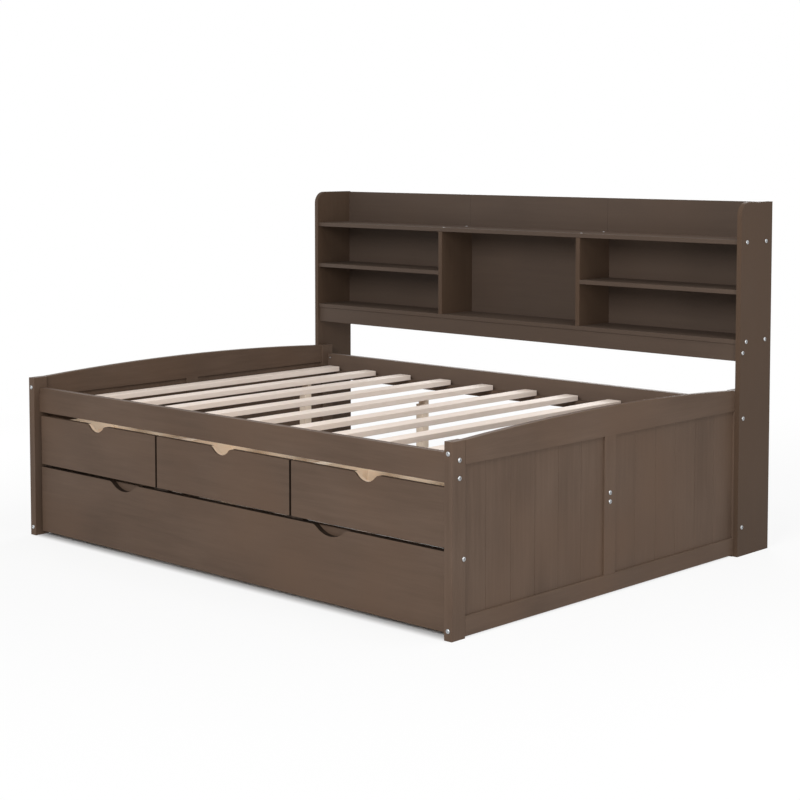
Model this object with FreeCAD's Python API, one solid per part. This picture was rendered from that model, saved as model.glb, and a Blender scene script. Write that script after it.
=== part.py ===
import FreeCAD, Part
import os
from FreeCAD import Vector

# Captains bed for a full-size mattress, with a bookcase along the long back
# side, three drawers in a row and a pull-out trundle under them.
# Millimetres. X runs along the bed, Y from the front to the back, Z up.
# Y is measured from the face of the front stiles, and each piece is moved
# back by half the whole depth when it is saved, so the origin lies at the
# bottom centre of the whole bed.

# Mattress and the room around it
mattress_length = 1905.0
mattress_width = 1372.0
mattress_room = 3.0

# Frame
stile_width = 56.0
stile_thickness = 29.0
stile_height = 551.0
rail_thickness = 24.0
rail_height = 84.0
rail_drop = 36.0
front_recess = 23.0
end_rail_thickness = 22.0
end_rail_height = 67.0
arch_rise = 21.0
bottom_rail_height = 57.0
bottom_rail_lift = 5.0
middle_stile_centre = 716.0
infill_thickness = 10.0
infill_recess = 6.0
board_width = 108.0
groove_width = 2.0
groove_depth = 0.9
middle_rail_thickness = 22.0
middle_rail_height = 120.0
stretcher_depth = 20.0
stretcher_height = 30.0
wood_ease = 1.5
parallel_share = 0.999

# Slats, ledges and posts
slat_count = 10
slat_width = 57.0
slat_thickness = 18.0
slat_sink = 44.0
slat_spacing = 199.0
slat_shift_shares = (0.0, 0.02, -0.04, 0.0, 0.05, 0.09, 0.03, -0.03, 0.03, 0.04)
slat_end_gap = 20.0
slat_corner = 5.0
ledge_width = 32.0
ledge_height = 28.0
post_width = 32.0
post_slats = (2, 5, 8)
post_notch_height = 16.0
post_notch_depth = 14.0
post_gap = 27.0

# Drawers
drawer_count = 3
front_thickness = 18.0
front_gap = 9.0
drawer_top_gap = 13.4
drawer_lift = 9.2
drawer_notch_width = 107.0
drawer_notch_depth = 24.0
drawer_notch_shoulder = 22.0
drawer_wall = 15.0
drawer_side_drop = 22.6
drawer_box_length = 287.0
drawer_bottom_thickness = 5.0
drawer_bottom_lift = 6.0
drawer_run_gap = 0.3
drawer_guide_gap = 2.0
stretcher_gap = 0.3
runner_width = 70.0
runner_thickness = 15.0
runner_lift = 2.8
guide_width = 43.0
guide_height = 22.0
divider_drop = 2.0

# Trundle
trundle_front_top = 240.0
trundle_front_bottom = 14.0
trundle_end_gap = 8.0
trundle_notch_width = 155.0
trundle_notch_depth = 27.5
trundle_notch_shoulder = 30.0
trundle_notch_spacing = 974.0
trundle_box_gap = 12.0
trundle_box_bottom = 50.0
trundle_box_top = 190.0
trundle_wall = 18.0
trundle_depth = 980.0
trundle_ledge_width = 20.0
trundle_slat_thickness = 12.0
trundle_slat_bottom = 75.0
bearer_width = 70.0
bearer_thickness = 22.0
bearer_spacing = 1240.0
caster_inset = 110.0
wheel_radius = 22.0
wheel_width = 18.0
wheel_round = 3.0
axle_radius = 3.0
axle_gap = 0.1
fork_gap = 1.5
fork_thickness = 2.5
fork_length = 34.0
fork_drop = 7.5
fork_corner = 11.0
fork_plate_length = 56.0
fork_plate_width = 42.0

# Bookcase
bookcase_height = 1168.0
bookcase_depth = 186.0
bookcase_front = 1393.5
side_thickness = 17.0
side_corner = 45.0
shelf_thickness = 15.0
shelf_recess = 6.0
top_shelf_drop = 138.0
bottom_shelf_top = 718.0
divider_thickness = 18.0
divider_spacing = 652.0
apron_height = 56.0
apron_thickness = 16.0
apron_recess = 9.0
back_thickness = 6.0
back_drop = 2.0
back_seam = 0.6

# Fasteners
bolt_radius = 3.0
bolt_gap = 0.2
bolt_head_radius = 7.0
bolt_head_height = 2.6
bolt_dome = 1.6
bolt_socket_radius = 2.6
bolt_socket_depth = 1.4
bolt_grip = 26.0
rail_bolt_edge = 17.0
rail_bolt_inset = 8.0
lower_bolt_height = 28.0
middle_bolt_spacing = 27.0
shelf_bolt_reach = 30.0
shelf_bolt_inset = 36.0
lower_side_bolt = 96.0
upper_bolt_drop = 93.0
screw_radius = 2.0
screw_head_radius = 4.0
screw_head_height = 1.0
screw_length = 45.0
rail_screw_length = 18.0
rail_screw_inset = 12.0
rail_screw_drop = 15.0
ledge_screw_count = 5
shelf_screw_inset = 22.0

overrun = 5.0

# Places worked out from the sizes above
inner_length = mattress_length + mattress_room
inner_width = mattress_width + mattress_room
inner_x = inner_length / 2
outer_x = inner_x + stile_thickness
bed_x = outer_x + side_thickness
front_rail_back = front_recess + rail_thickness
back_rail_front = front_rail_back + inner_width
frame_depth = back_rail_front + rail_thickness
back_stile_front = frame_depth - stile_width
rail_top = stile_height - rail_drop
rail_bottom = rail_top - rail_height
arch_bottom = stile_height - end_rail_height
bottom_rail_top = bottom_rail_lift + bottom_rail_height
end_rail_inner = outer_x - end_rail_thickness
middle_stile_front = middle_stile_centre - stile_width / 2
middle_stile_back = middle_stile_centre + stile_width / 2
middle_rail_front = middle_stile_centre - middle_rail_thickness / 2
slat_top = rail_top - slat_sink
slat_bottom = slat_top - slat_thickness
slat_front = front_rail_back + slat_end_gap
slat_back = back_rail_front - slat_end_gap
front_back = front_recess + front_thickness
stretcher_front = front_back + stretcher_gap
stretcher_back = stretcher_front + stretcher_depth
drawer_front_top = rail_bottom - drawer_top_gap
drawer_front_bottom = trundle_front_top + drawer_lift
runner_top = drawer_front_bottom + runner_lift
runner_bottom = runner_top - runner_thickness
middle_rail_top = runner_bottom + middle_rail_height
stretcher_bottom = runner_bottom - stretcher_height
drawer_front_width = (inner_length - (drawer_count + 1) * front_gap) / drawer_count
drawer_step = drawer_front_width + front_gap
drawer_box_width = drawer_step - guide_width - 2 * drawer_guide_gap
drawer_box_bottom = runner_top + drawer_run_gap
drawer_box_back = front_back + drawer_box_length
drawer_box_top = drawer_front_top - drawer_side_drop
drawer_bottom_low = drawer_box_bottom + drawer_bottom_lift
trundle_x = inner_x - trundle_end_gap
trundle_side_x = inner_x - trundle_box_gap
trundle_inner_x = trundle_side_x - trundle_wall
trundle_back = front_recess + trundle_depth
trundle_inner_back = trundle_back - trundle_wall
bearer_bottom = trundle_slat_bottom - bearer_thickness
caster_front = front_back + caster_inset
caster_back = trundle_inner_back - caster_inset
bookcase_back = bookcase_front + bookcase_depth
shelf_front = bookcase_front + shelf_recess
shelf_back = bookcase_back - back_thickness
top_shelf_bottom = bookcase_height - top_shelf_drop
bottom_shelf_bottom = bottom_shelf_top - shelf_thickness
apron_bottom = bottom_shelf_bottom - apron_height
apron_front = bookcase_front + apron_recess
middle_shelf_bottom = (bottom_shelf_top + top_shelf_bottom - shelf_thickness) / 2
divider_inner = (divider_spacing - divider_thickness) / 2
divider_outer = divider_inner + divider_thickness
to_centre = Vector(0, -(bookcase_back - bolt_head_height) / 2, 0)

os.makedirs("parts", exist_ok=True)


def save(name, *solids):
    """Write one named piece, or a group of like pieces, as one file."""
    shape = solids[0] if len(solids) == 1 else Part.makeCompound(list(solids))
    shape = shape.copy()
    shape.translate(to_centre)
    shape.exportStep("parts/" + name + ".step")


def block(x0, x1, y0, y1, z0, z1):
    """A plain box between two corners."""
    return Part.makeBox(x1 - x0, y1 - y0, z1 - z0, Vector(x0, y0, z0))


def eased(shape, along, ease=wood_ease):
    """Round the straight edges that run along one axis, as sanded wood is."""
    ends = []
    for edge in shape.Edges:
        step = edge.Vertexes[-1].Point - edge.Vertexes[0].Point
        if abs(step.dot(along)) > step.Length * parallel_share:
            ends.append(edge)
    return shape.makeFillet(ease, ends)


def board(x0, x1, y0, y1, z0, z1, along):
    """A board whose long edges, those along one axis, are eased."""
    return eased(block(x0, x1, y0, y1, z0, z1), along)


def mirrored(shape):
    """The same piece on the other end of the bed."""
    return shape.mirror(Vector(0, 0, 0), Vector(1, 0, 0))


def drill(shape, holes):
    """Cut the shank holes of all bolts or screws that pass the piece."""
    near = [hole for hole in holes if hole.BoundBox.intersect(shape.BoundBox)]
    return shape.cut(near) if near else shape


along_x = Vector(1, 0, 0)
along_y = Vector(0, 1, 0)
along_z = Vector(0, 0, 1)


class Bolt:
    """A domed bolt on a face, and the hole its shank needs."""

    def __init__(self, place, inward, reach):
        self.place = place
        self.inward = inward
        self.reach = reach

    def solid(self):
        shank = Part.makeCylinder(bolt_radius, self.reach, self.place, self.inward)
        outward = self.inward * -1
        head = Part.makeCylinder(bolt_head_radius, bolt_head_height, self.place, outward)
        rim = [edge for edge in head.Edges if edge.Closed and self.is_outer(edge, outward)]
        head = head.makeFillet(bolt_dome, rim)
        floor = self.place + outward * (bolt_head_height - bolt_socket_depth)
        socket = Part.makeCylinder(bolt_socket_radius, bolt_socket_depth + overrun, floor, outward)
        return head.fuse(shank).cut(socket).removeSplitter()

    def is_outer(self, edge, outward):
        return (edge.CenterOfMass - self.place).dot(outward) > bolt_head_height / 2

    def hole(self):
        return Part.makeCylinder(bolt_radius + bolt_gap, self.reach, self.place, self.inward)


class Screw:
    """A small flat-headed screw on a face, and its hole."""

    def __init__(self, place, inward, reach=screw_length):
        self.place = place
        self.inward = inward
        self.reach = reach

    def solid(self):
        shank = Part.makeCylinder(screw_radius, self.reach, self.place, self.inward)
        outward = self.inward * -1
        head = Part.makeCylinder(screw_head_radius, screw_head_height, self.place, outward)
        return head.fuse(shank).removeSplitter()

    def hole(self):
        return Part.makeCylinder(screw_radius + bolt_gap, self.reach, self.place, self.inward)


def both_ends(x, y, z, reach):
    """Two bolts that run along X, one at each end of the bed."""
    return [
        Bolt(Vector(side * x, y, z), Vector(-side, 0, 0), reach) for side in (-1, 1)
    ]


def frame_bolts():
    """Bolts of the bed frame, seen on the end panels and the stile faces."""
    bolts = []
    end_reach = stile_thickness + bolt_grip
    rail_y = front_recess + rail_bolt_inset
    for z in (rail_top - rail_bolt_edge, rail_bottom + rail_bolt_edge):
        bolts += both_ends(outer_x, rail_y, z, end_reach)
    stretcher_y = stretcher_front + rail_bolt_inset
    bolts += both_ends(outer_x, stretcher_y, runner_bottom - stretcher_height / 2, end_reach)
    middle_z = (runner_bottom + middle_rail_top) / 2
    for step in (-1, 1):
        z = middle_z + step * middle_bolt_spacing / 2
        bolts += both_ends(outer_x, middle_stile_centre, z, end_reach)
    stile_x = outer_x - stile_thickness / 2
    reach = stile_width + bolt_grip
    for side in (-1, 1):
        for z in (lower_bolt_height, (arch_bottom + stile_height) / 2):
            bolts.append(Bolt(Vector(side * stile_x, 0, z), along_y, reach))
            bolts.append(Bolt(Vector(side * stile_x, frame_depth, z), along_y * -1, reach))
    return bolts


def bookcase_bolts():
    """Bolts in the outer faces of the bookcase sides."""
    bolts = []
    reach = side_thickness + shelf_bolt_reach
    for z in (top_shelf_bottom, bottom_shelf_bottom):
        for y in (bookcase_front + shelf_bolt_inset, bookcase_back - shelf_bolt_inset):
            bolts += both_ends(bed_x, y, z + shelf_thickness / 2, reach)
    apron_y = apron_front + apron_thickness / 2
    bolts += both_ends(bed_x, apron_y, apron_bottom + apron_height / 2, reach)
    stile_y = frame_depth - stile_width / 2
    for z in (lower_side_bolt, stile_height - upper_bolt_drop):
        bolts += both_ends(bed_x, stile_y, z, side_thickness + bolt_grip / 2)
    return bolts


def screws():
    """Screws over the dividers, along the slat ledges and in the back rail."""
    found = []
    divider_x = divider_inner + divider_thickness / 2
    for x in (-divider_x, divider_x):
        for y in (shelf_front + shelf_screw_inset, shelf_back - shelf_screw_inset):
            place = Vector(x, y, top_shelf_bottom + shelf_thickness)
            found.append(Screw(place, along_z * -1))
    step = inner_length / ledge_screw_count
    z = slat_bottom - ledge_height / 2
    for n in range(ledge_screw_count):
        x = (n + 0.5) * step - inner_x
        found.append(Screw(Vector(x, back_rail_front - ledge_width, z), along_y))
        found.append(Screw(Vector(x, front_rail_back + ledge_width, z), along_y * -1))
    for side in (-1, 1):
        x = side * (inner_x - rail_screw_inset)
        place = Vector(x, back_rail_front, rail_top - rail_screw_drop)
        found.append(Screw(place, along_y, rail_screw_length))
    return found


bed_bolts = frame_bolts()
case_bolts = bookcase_bolts()
wood_screws = screws()
holes = [item.hole() for item in bed_bolts + case_bolts + wood_screws]


def end_panels():
    """Both end panels: stiles, arched rail, bottom rail and grooved infill."""
    stiles = {
        "front_stile": block(inner_x, outer_x, 0, stile_width, 0, stile_height),
        "back_stile": block(inner_x, outer_x, back_stile_front, frame_depth, 0, stile_height),
        "middle_stile": block(
            end_rail_inner, outer_x, middle_stile_front, middle_stile_back,
            bottom_rail_top, arch_bottom,
        ),
    }
    pieces = {name: eased(shape, along_z) for name, shape in stiles.items()}
    pieces["arched_rail"] = arched_rail()
    pieces["bottom_rail"] = board(
        end_rail_inner, outer_x, stile_width, back_stile_front,
        bottom_rail_lift, bottom_rail_top, along_y,
    )
    infill = [
        infill_panel(stile_width, middle_stile_front),
        infill_panel(middle_stile_back, back_stile_front),
    ]
    for name, shape in pieces.items():
        save("right_" + name, drill(shape, holes))
        save("left_" + name, drill(mirrored(shape), holes))
    save("right_infill_panels", *infill)
    save("left_infill_panels", *[mirrored(shape) for shape in infill])


def arched_rail():
    """The top rail of an end panel, with its low arched upper edge."""
    y0 = stile_width
    y1 = back_stile_front
    low0 = Vector(end_rail_inner, y0, arch_bottom)
    low1 = Vector(end_rail_inner, y1, arch_bottom)
    high0 = Vector(end_rail_inner, y0, stile_height)
    high1 = Vector(end_rail_inner, y1, stile_height)
    crown = Vector(end_rail_inner, (y0 + y1) / 2, stile_height + arch_rise)
    outline = Part.Wire([
        Part.LineSegment(high0, low0).toShape(),
        Part.LineSegment(low0, low1).toShape(),
        Part.LineSegment(low1, high1).toShape(),
        Part.Arc(high1, crown, high0).toShape(),
    ])
    rail = Part.Face(outline).extrude(Vector(end_rail_thickness, 0, 0))
    arcs = [edge for edge in rail.Edges if isinstance(edge.Curve, Part.Circle)]
    return rail.makeFillet(wood_ease, arcs)


def infill_panel(y0, y1):
    """A panel of tongued boards: V grooves at a steady pitch in its outer face."""
    outer = outer_x - infill_recess
    panel = block(outer - infill_thickness, outer, y0, y1, bottom_rail_top, arch_bottom)
    cuts = []
    y = y1 - board_width
    while y > y0 + groove_width:
        tip = Vector(outer - groove_depth, y, bottom_rail_top)
        left = Vector(outer, y - groove_width / 2, bottom_rail_top)
        right = Vector(outer, y + groove_width / 2, bottom_rail_top)
        edge = Part.makePolygon([tip, left, right, tip])
        cuts.append(Part.Face(edge).extrude(Vector(0, 0, arch_bottom - bottom_rail_top)))
        y -= board_width
    return panel.cut(cuts)


def long_rails():
    """The long members that join the two end panels."""
    front = board(
        -inner_x, inner_x, front_recess, front_rail_back, rail_bottom, rail_top, along_x
    )
    back = board(
        -inner_x, inner_x, back_rail_front, frame_depth, rail_bottom, rail_top, along_x
    )
    middle = board(
        -end_rail_inner, end_rail_inner,
        middle_rail_front, middle_rail_front + middle_rail_thickness,
        runner_bottom, middle_rail_top, along_x,
    )
    stretcher = board(
        -inner_x, inner_x, stretcher_front, stretcher_back,
        stretcher_bottom, runner_bottom, along_x,
    )
    save("front_rail", drill(front, holes))
    save("back_rail", drill(back, holes))
    save("middle_rail", drill(middle, holes))
    save("front_stretcher", drill(stretcher, holes))
    low = slat_bottom - ledge_height
    ledges = [
        board(-inner_x, inner_x, y, y + ledge_width, low, slat_bottom, along_x)
        for y in (front_rail_back, back_rail_front - ledge_width)
    ]
    save("slat_ledges", *[drill(ledge, holes) for ledge in ledges])


def slat_centres(shift_shares):
    """Where the slats lie along the bed, each shifted by a share of their spacing."""
    first = -(slat_count - 1) * slat_spacing / 2
    return [
        first + (n + shift_shares[n % len(shift_shares)]) * slat_spacing
        for n in range(slat_count)
    ]


def slat(x, y0, y1, z0, thickness):
    """One slat across the bed, with its four corners rounded."""
    half = slat_width / 2
    shape = block(x - half, x + half, y0, y1, z0, z0 + thickness)
    return eased(eased(shape, along_z, slat_corner), along_y, wood_ease)


def slats_and_posts():
    """Ten slats on the ledges, three of them held up by posts on the floor."""
    centres = slat_centres(slat_shift_shares)
    for n, x in enumerate(centres):
        save("bed_slat_%d" % (n + 1), slat(x, slat_front, slat_back, slat_bottom, slat_thickness))
    posts = []
    y0 = trundle_back + post_gap
    for number in post_slats:
        x = centres[number - 1]
        half = post_width / 2
        post = board(x - half, x + half, y0, y0 + post_width, 0, slat_bottom, along_z)
        notch = block(
            x - half - overrun, x + half + overrun, y0 - overrun, y0 + post_notch_depth,
            slat_bottom - post_notch_height, slat_bottom + overrun,
        )
        posts.append(post.cut(notch))
    save("support_posts", *posts)


def notch_cutter(x, top, width, depth, shoulder, y0, y1):
    """The finger notch of a front: a bowl that rounds over into the top edge."""
    half = width / 2
    reach = (half ** 2 + depth ** 2) / (2 * depth)
    bowl = reach - shoulder
    turn_x = half * bowl / reach
    centre_z = bowl - depth
    turn_z = centre_z - (centre_z + shoulder) * bowl / reach
    slope = Vector(half - turn_x, 0, -shoulder - turn_z)
    middle = Vector(half, 0, -shoulder) + (Vector(0, 0, shoulder) - slope).normalize() * shoulder
    points = {
        "right": Vector(half, 0, 0),
        "right_middle": middle,
        "right_turn": Vector(turn_x, 0, turn_z),
        "bottom": Vector(0, 0, -depth),
        "left_turn": Vector(-turn_x, 0, turn_z),
        "left_middle": Vector(-middle.x, 0, middle.z),
        "left": Vector(-half, 0, 0),
    }
    place = Vector(x, y0, top)
    at = {name: point + place for name, point in points.items()}
    above = Vector(0, 0, overrun)
    edges = [
        Part.Arc(at["right"], at["right_middle"], at["right_turn"]).toShape(),
        Part.Arc(at["right_turn"], at["bottom"], at["left_turn"]).toShape(),
        Part.Arc(at["left_turn"], at["left_middle"], at["left"]).toShape(),
        Part.LineSegment(at["left"], at["left"] + above).toShape(),
        Part.LineSegment(at["left"] + above, at["right"] + above).toShape(),
        Part.LineSegment(at["right"] + above, at["right"]).toShape(),
    ]
    return Part.Face(Part.Wire(edges)).extrude(Vector(0, y1 - y0, 0))


def front_panel(x0, x1, z0, z1, notch_places, width, depth, shoulder):
    """The face of a drawer or of the trundle, with its finger notches."""
    panel = board(x0, x1, front_recess, front_back, z0, z1, along_x)
    y0 = front_recess - overrun
    y1 = front_back + overrun
    cutters = [notch_cutter(x, z1, width, depth, shoulder, y0, y1) for x in notch_places]
    return panel.cut(cutters)


def drawers():
    """Three drawers in a row, each a front, a box of three walls and a bottom."""
    for n in range(drawer_count):
        x = (n - (drawer_count - 1) / 2) * drawer_step
        half = drawer_front_width / 2
        name = "drawer_%d_" % (n + 1)
        front = front_panel(
            x - half, x + half, drawer_front_bottom, drawer_front_top,
            [x], drawer_notch_width, drawer_notch_depth, drawer_notch_shoulder,
        )
        save(name + "front", front)
        outer = drawer_box_width / 2
        inner = outer - drawer_wall
        back_y = drawer_box_back - drawer_wall
        low = drawer_box_bottom
        high = drawer_box_top
        walls = [
            board(x - outer, x - inner, front_back, drawer_box_back, low, high, along_y),
            board(x + inner, x + outer, front_back, drawer_box_back, low, high, along_y),
            board(x - inner, x + inner, back_y, drawer_box_back, low, high, along_x),
        ]
        save(name + "box", *walls)
        bottom = block(
            x - inner, x + inner, front_back, back_y,
            drawer_bottom_low, drawer_bottom_low + drawer_bottom_thickness,
        )
        save(name + "bottom", bottom)


def drawer_runners():
    """Runners under the drawers, low guides at the ends and tall ones between drawers."""
    runners = []
    y0 = stretcher_front
    half = runner_width / 2
    guide = guide_width / 2
    for n in range(drawer_count + 1):
        x = (n - drawer_count / 2) * drawer_step
        left = max(x - half, -inner_x)
        right = min(x + half, inner_x)
        runners.append(block(left, right, y0, middle_rail_front, runner_bottom, runner_top))
        left = max(x - guide, -inner_x)
        right = min(x + guide, inner_x)
        between = 0 < n < drawer_count
        top = drawer_box_top - divider_drop if between else runner_top + guide_height
        runners.append(board(left, right, y0, drawer_box_back, runner_top, top, along_y))
    save("drawer_runners", *runners)


def trundle():
    """The pull-out trundle: a low box with slats, on two caster bearers."""
    half_spacing = trundle_notch_spacing / 2
    front = front_panel(
        -trundle_x, trundle_x, trundle_front_bottom, trundle_front_top,
        [-half_spacing, half_spacing], trundle_notch_width, trundle_notch_depth,
        trundle_notch_shoulder,
    )
    save("trundle_front", front)
    z0 = trundle_box_bottom
    z1 = trundle_box_top
    save("trundle_right_side", board(
        trundle_inner_x, trundle_side_x, front_back, trundle_back, z0, z1, along_y
    ))
    save("trundle_left_side", board(
        -trundle_side_x, -trundle_inner_x, front_back, trundle_back, z0, z1, along_y
    ))
    save("trundle_back", board(
        -trundle_inner_x, trundle_inner_x, trundle_inner_back, trundle_back, z0, z1, along_x
    ))
    ledges = [
        board(
            -trundle_inner_x, trundle_inner_x, y, y + trundle_ledge_width,
            trundle_box_bottom, trundle_slat_bottom, along_x,
        )
        for y in (front_back, trundle_inner_back - trundle_ledge_width)
    ]
    bearer_half = bearer_width / 2
    bearers = []
    for side in (-1, 1):
        x = side * bearer_spacing / 2
        bearer = block(
            x - bearer_half, x + bearer_half, front_back, trundle_inner_back,
            bearer_bottom, trundle_slat_bottom,
        )
        ledges = [ledge.cut(bearer) for ledge in ledges]
        bearers.append(bearer)
    save("trundle_ledges", *[solid for ledge in ledges for solid in ledge.Solids])
    save("trundle_bearers", *bearers)
    slats = [
        slat(x, front_back + slat_end_gap / 2, trundle_inner_back - slat_end_gap / 2,
             trundle_slat_bottom, trundle_slat_thickness)
        for x in slat_centres([0])
    ]
    save("trundle_slats", *slats)


def fork(x, y):
    """A fixed caster fork: a plate under the bearer and two cheeks."""
    half_gap = wheel_width / 2 + fork_gap
    half_out = half_gap + fork_thickness
    half_long = fork_length / 2
    plate = block(
        x - fork_plate_width / 2, x + fork_plate_width / 2,
        y - fork_plate_length / 2, y + fork_plate_length / 2,
        bearer_bottom - fork_thickness, bearer_bottom,
    )
    pieces = [plate]
    low = wheel_radius - fork_drop
    for side in (-1, 1):
        inner = x + side * half_gap
        outer = x + side * half_out
        cheek = block(
            min(inner, outer), max(inner, outer), y - half_long, y + half_long,
            low, bearer_bottom - fork_thickness,
        )
        corners = [
            edge for edge in cheek.Edges
            if abs(edge.Vertexes[0].X - edge.Vertexes[-1].X) > fork_thickness / 2
            and edge.CenterOfMass.z < low + wheel_radius / 2
        ]
        cheek = cheek.makeFillet(fork_corner, corners)
        pieces.append(cheek)
    axle_start = Vector(x - half_out, y, wheel_radius)
    axle = Part.makeCylinder(axle_radius, 2 * half_out, axle_start, along_x)
    for piece in pieces[1:]:
        axle = axle.fuse(piece)
    return axle.fuse(plate).removeSplitter()


def wheel(x, y):
    """A caster wheel with rounded shoulders, bored for its axle."""
    start = Vector(x - wheel_width / 2, y, wheel_radius)
    tyre = Part.makeCylinder(wheel_radius, wheel_width, start, along_x)
    rims = [edge for edge in tyre.Edges if edge.Closed]
    tyre = tyre.makeFillet(wheel_round, rims)
    bore_start = start - along_x * overrun
    bore = Part.makeCylinder(
        axle_radius + axle_gap, wheel_width + 2 * overrun, bore_start, along_x
    )
    return tyre.cut(bore)


def casters():
    """Four casters, two under each bearer of the trundle."""
    forks = []
    number = 1
    for y in (caster_front, caster_back):
        for side in (-1, 1):
            x = side * bearer_spacing / 2
            forks.append(fork(x, y))
            save("trundle_wheel_%d" % number, wheel(x, y))
            number += 1
    save("caster_forks", *forks)


def bookcase():
    """The bookcase behind the mattress, its two sides standing on the floor."""
    side = block(outer_x, bed_x, bookcase_front, bookcase_back, 0, bookcase_height)
    corner = [
        edge for edge in side.Edges
        if edge.CenterOfMass.isEqual(
            Vector((outer_x + bed_x) / 2, bookcase_front, bookcase_height), wood_ease
        )
    ]
    side = side.makeFillet(side_corner, corner)
    save("bookcase_right_side", drill(side, holes))
    save("bookcase_left_side", drill(mirrored(side), holes))
    top = top_shelf_bottom + shelf_thickness
    save("top_shelf", drill(board(
        -outer_x, outer_x, shelf_front, shelf_back, top_shelf_bottom, top, along_x
    ), holes))
    save("bottom_shelf", drill(board(
        -outer_x, outer_x, shelf_front, shelf_back, bottom_shelf_bottom, bottom_shelf_top, along_x
    ), holes))
    middle_top = middle_shelf_bottom + shelf_thickness
    middle = board(
        divider_outer, outer_x, shelf_front, shelf_back, middle_shelf_bottom, middle_top, along_x
    )
    save("middle_shelves", middle, mirrored(middle))
    divider = board(
        divider_inner, divider_outer, shelf_front, shelf_back,
        bottom_shelf_top, top_shelf_bottom, along_z,
    )
    save("bookcase_dividers", drill(divider, holes), drill(mirrored(divider), holes))
    save("bookcase_apron", drill(board(
        -outer_x, outer_x, apron_front, apron_front + apron_thickness,
        apron_bottom, bottom_shelf_bottom, along_x,
    ), holes))
    seam = (divider_spacing - back_seam) / 2
    back_top = bookcase_height - back_drop
    middle_sheet = block(
        -seam, seam, shelf_back, bookcase_back, bottom_shelf_bottom, back_top
    )
    side_sheet = block(
        seam + back_seam, outer_x, shelf_back, bookcase_back, bottom_shelf_bottom, back_top
    )
    save("bookcase_back", mirrored(side_sheet), middle_sheet, side_sheet)


end_panels()
long_rails()
slats_and_posts()
drawers()
drawer_runners()
trundle()
casters()
bookcase()
save("bolts", *[bolt.solid() for bolt in bed_bolts + case_bolts])
save("screws", *[screw.solid() for screw in wood_screws])
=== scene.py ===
"""Looks for the captains bed: wood finishes, fastener heads, caster hubs and the studio."""

import math

import bmesh
import bpy
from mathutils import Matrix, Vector


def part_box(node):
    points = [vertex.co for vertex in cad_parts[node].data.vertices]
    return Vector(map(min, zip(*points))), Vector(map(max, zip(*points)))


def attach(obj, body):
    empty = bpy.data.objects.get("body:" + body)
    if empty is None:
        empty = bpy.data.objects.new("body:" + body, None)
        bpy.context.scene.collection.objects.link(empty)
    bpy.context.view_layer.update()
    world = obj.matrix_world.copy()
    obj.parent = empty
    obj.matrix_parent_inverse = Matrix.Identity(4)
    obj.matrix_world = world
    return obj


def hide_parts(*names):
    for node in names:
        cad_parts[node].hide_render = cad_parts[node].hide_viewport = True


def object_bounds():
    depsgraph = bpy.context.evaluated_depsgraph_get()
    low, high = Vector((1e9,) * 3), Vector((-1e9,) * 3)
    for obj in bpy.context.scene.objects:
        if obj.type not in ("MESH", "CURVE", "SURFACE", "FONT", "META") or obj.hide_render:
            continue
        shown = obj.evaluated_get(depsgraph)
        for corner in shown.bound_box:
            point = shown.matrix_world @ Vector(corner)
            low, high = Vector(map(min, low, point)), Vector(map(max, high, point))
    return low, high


bl_info = {
    "name": "Captains Bed Finish",
    "version": (1, 0, 0),
    "blender": (4, 5, 0),
    "location": "3D View > Sidebar > Bed",
    "description": "Wood finishes, fastener heads, caster hubs and a studio for the captains bed",
    "category": "Object",
}

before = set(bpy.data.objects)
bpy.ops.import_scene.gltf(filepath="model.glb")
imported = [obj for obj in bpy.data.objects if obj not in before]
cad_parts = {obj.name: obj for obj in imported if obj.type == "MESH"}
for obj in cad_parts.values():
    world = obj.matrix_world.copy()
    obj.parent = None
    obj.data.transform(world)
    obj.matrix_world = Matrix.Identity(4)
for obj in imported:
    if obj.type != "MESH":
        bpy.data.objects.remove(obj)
cad_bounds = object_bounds()

AXES = ("x", "y", "z")

# Which way the grain runs in each stained board
GRAIN_X = (
    "front_rail", "middle_rail", "front_stretcher", "slat_ledges", "trundle_back",
)
GRAIN_Y = (
    "left_arched_rail", "right_arched_rail", "left_bottom_rail", "right_bottom_rail",
    "trundle_left_side", "trundle_right_side",
)
GRAIN_Z = (
    "left_front_stile", "left_middle_stile", "left_back_stile",
    "right_front_stile", "right_middle_stile", "right_back_stile",
)
CASE_X = ("top_shelf", "bottom_shelf", "middle_shelves", "bookcase_apron", "bookcase_back")
CASE_Z = ("bookcase_left_side", "bookcase_right_side", "bookcase_dividers")
DRAWER_FRONTS = ("drawer_1_front", "drawer_2_front", "drawer_3_front")
INFILL = ("left_infill_panels", "right_infill_panels")
SLATS = tuple("bed_slat_%d" % (n + 1) for n in range(10)) + ("trundle_slats",)
PINE = tuple(
    "drawer_%d_%s" % (n + 1, part) for n in range(3) for part in ("box", "bottom")
) + ("trundle_bearers", "trundle_ledges")

# What tells the edges of a front from its faces: less towards Y than EDGE_TURN is an edge,
# more towards X than END_TURN an end, below LOWER_TURN in Z a lower edge, above NOTCH_TURN a notch
EDGE_TURN = 0.5
END_TURN = 0.9
LOWER_TURN = -0.2
NOTCH_TURN = 0.3
# A drawer's notch counts as such from this far below the front's top
TOP_EDGE = 0.0003
# The drawer runners show pale pine from this far below their tops upwards, and the stain's deep
# tone lower down
SEAT_EDGE = 0.0005

# Steps that shift the joints of the pine from one glued strip to the next
ROW_STEP_X = 0.37
ROW_STEP_Y = 0.61
START_X = 0.2
SKEW_Y = 0.43
# Added to the board numbers of a rear panel, so that its tones differ from the front panel's
REAR_NUMBERS = 20

# Points of a bolt or a screw farther from its axis than this belong to the head
BOLT_SHANK = 0.0045
SCREW_SHANK = 0.003
# How far the dome of a bolt head draws in towards its top
DOME = 0.55
# Shares of the radius: the length of a screw's slots, and the place and size of a hub's holes
SLOT_REACH = 1.1
HUB_RING = 0.66
HUB_HOLE = 0.14
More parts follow.
